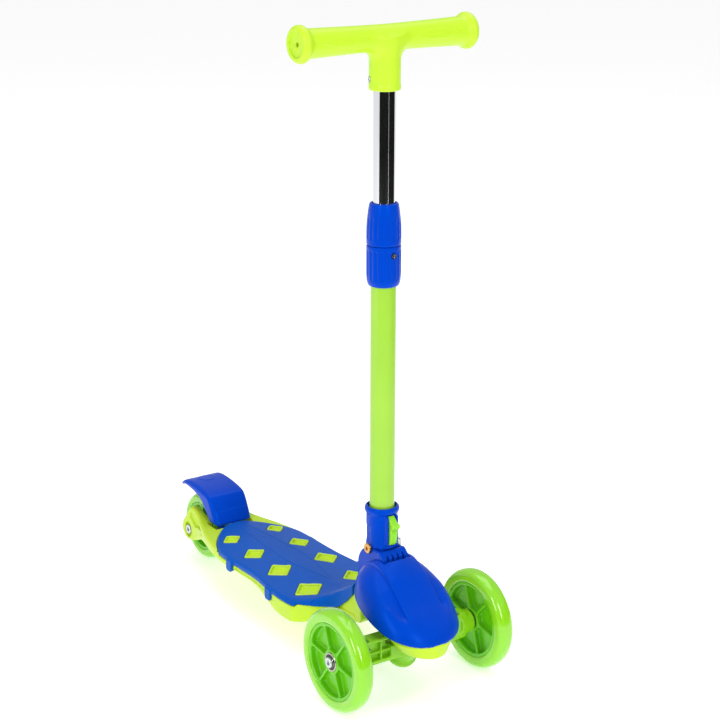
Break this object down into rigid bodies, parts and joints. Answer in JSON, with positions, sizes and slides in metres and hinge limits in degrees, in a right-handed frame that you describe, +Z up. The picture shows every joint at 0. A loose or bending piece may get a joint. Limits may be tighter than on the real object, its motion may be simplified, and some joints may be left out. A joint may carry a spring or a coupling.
{
  "type": "kick scooter",
  "caption": "Child's kick scooter that steers by leaning: two wheels in front, one behind, a folding stem with a height clamp, a T handlebar and a fender foot brake.",
  "frame": {"origin": "on the ground, at the middle of the whole scooter's outline, below the deck", "axes": "+Z up along the stem, -Y forwards in the riding direction, +X towards the rider's left"},
  "size_m": [0.227, 0.568, 0.7647],
  "materials": {
    "base_plastic": "moulded, satin",
    "blue_plastic": "moulded, glossy",
    "mat_plastic": "moulded, satin",
    "zinc_screw": "zinc plated",
    "zinc_steel": "zinc plated",
    "brass_bolt": "yellow zinc plated",
    "spring_steel": "drawn wire",
    "lime_plastic": "moulded, satin",
    "bush_plastic": "moulded",
    "black_plastic": "moulded",
    "tyre_urethane": "cast polyurethane, glossy",
    "core_plastic": "moulded, glossy",
    "bearing_steel": "ground",
    "lime_paint": "glossy powder coat",
    "chrome_tube": "polished"
  },
  "bodies": {
    "chassis": {"deck_base": "base_plastic", "deck_mat": "mat_plastic", "hood": "blue_plastic", "fold_bracket": "blue_plastic", "bracket_screws": "zinc_screw", "hood_screws": "zinc_screw", "king_pin": "zinc_steel", "king_nut": "zinc_steel", "centring_spring_left": "spring_steel", "centring_spring_right": "spring_steel", "rear_axle_bolt": "zinc_steel", "rear_axle_nut": "zinc_steel", "rear_axle_spacers": "zinc_steel", "fender_pin": "zinc_steel", "fender_spring": "spring_steel", "fold_bolt": "brass_bolt", "fold_nut": "zinc_steel"},
    "truck": {"truck_beam": "lime_plastic", "king_bushes": "bush_plastic", "front_axle_bolts": "zinc_steel", "front_axle_nuts": "zinc_steel", "front_washers": "black_plastic"},
    "front_wheel_left": {"front_tyre_left": "tyre_urethane", "front_core_left": "core_plastic", "front_bearings_left": "bearing_steel", "front_sleeve_left": "zinc_steel"},
    "front_wheel_right": {"front_tyre_right": "tyre_urethane", "front_core_right": "core_plastic", "front_bearings_right": "bearing_steel", "front_sleeve_right": "zinc_steel"},
    "rear_wheel": {"rear_tyre": "tyre_urethane", "rear_core": "core_plastic", "rear_bearings": "bearing_steel", "rear_sleeve": "zinc_steel"},
    "stem": {"head_tube": "blue_plastic", "stem_tube": "lime_paint", "collar_base": "blue_plastic", "collar_screw": "zinc_screw", "latch_pin": "zinc_steel", "latch_spring": "spring_steel"},
    "latch": {"latch_lever": "lime_plastic"},
    "clamp_nut": {"clamp_nut": "blue_plastic"},
    "handlebar": {"inner_tube": "chrome_tube", "tube_glide": "black_plastic", "handlebar": "lime_plastic", "handlebar_screw": "zinc_screw"},
    "fender": {"fender": "blue_plastic"}
  },
  "joints": [
    {"name": "truck_steer", "type": "hinge", "parent": "chassis", "child": "truck", "pos_m": [0, -0.221, 0.05], "axis": [0, -0.7071, 0.7071], "range_deg": [-12, 12], "stiffness_Nm_per_rad": 40, "deforming": ["centring_spring_left", "centring_spring_right"]},
    {"name": "front_wheel_left_spin", "type": "hinge", "parent": "truck", "child": "front_wheel_left", "pos_m": [0.099, -0.224, 0.06], "axis": [1, 0, 0], "continuous": true},
    {"name": "front_wheel_right_spin", "type": "hinge", "parent": "truck", "child": "front_wheel_right", "pos_m": [-0.099, -0.224, 0.06], "axis": [1, 0, 0], "continuous": true},
    {"name": "rear_wheel_spin", "type": "hinge", "parent": "chassis", "child": "rear_wheel", "pos_m": [0, 0.239, 0.045], "axis": [1, 0, 0], "continuous": true},
    {"name": "stem_fold", "type": "hinge", "parent": "chassis", "child": "stem", "pos_m": [0, -0.169, 0.158], "axis": [-1, 0, 0], "range_deg": [0, 90]},
    {"name": "latch_press", "type": "hinge", "parent": "stem", "child": "latch", "pos_m": [0, -0.18842, 0.182], "axis": [1, 0, 0], "range_deg": [0, 5.5], "stiffness_Nm_per_rad": 0.3, "springref_deg": -11.46, "deforming": ["latch_spring"]},
    {"name": "clamp_twist", "type": "hinge", "parent": "stem", "child": "clamp_nut", "pos_m": [0, -0.169, 0.54], "axis": [0, 0, 1], "range_deg": [0, 180]},
    {"name": "height_slide", "type": "slide", "parent": "stem", "child": "handlebar", "axis": [0, 0, 1], "range_m": [-0.12, 0.02]},
    {"name": "fender_brake", "type": "hinge", "parent": "chassis", "child": "fender", "pos_m": [0, 0.184, 0.059], "axis": [-1, 0, 0], "range_deg": [0, 3.5], "stiffness_Nm_per_rad": 2, "springref_deg": -8.59, "deforming": ["fender_spring"]}
  ]
}
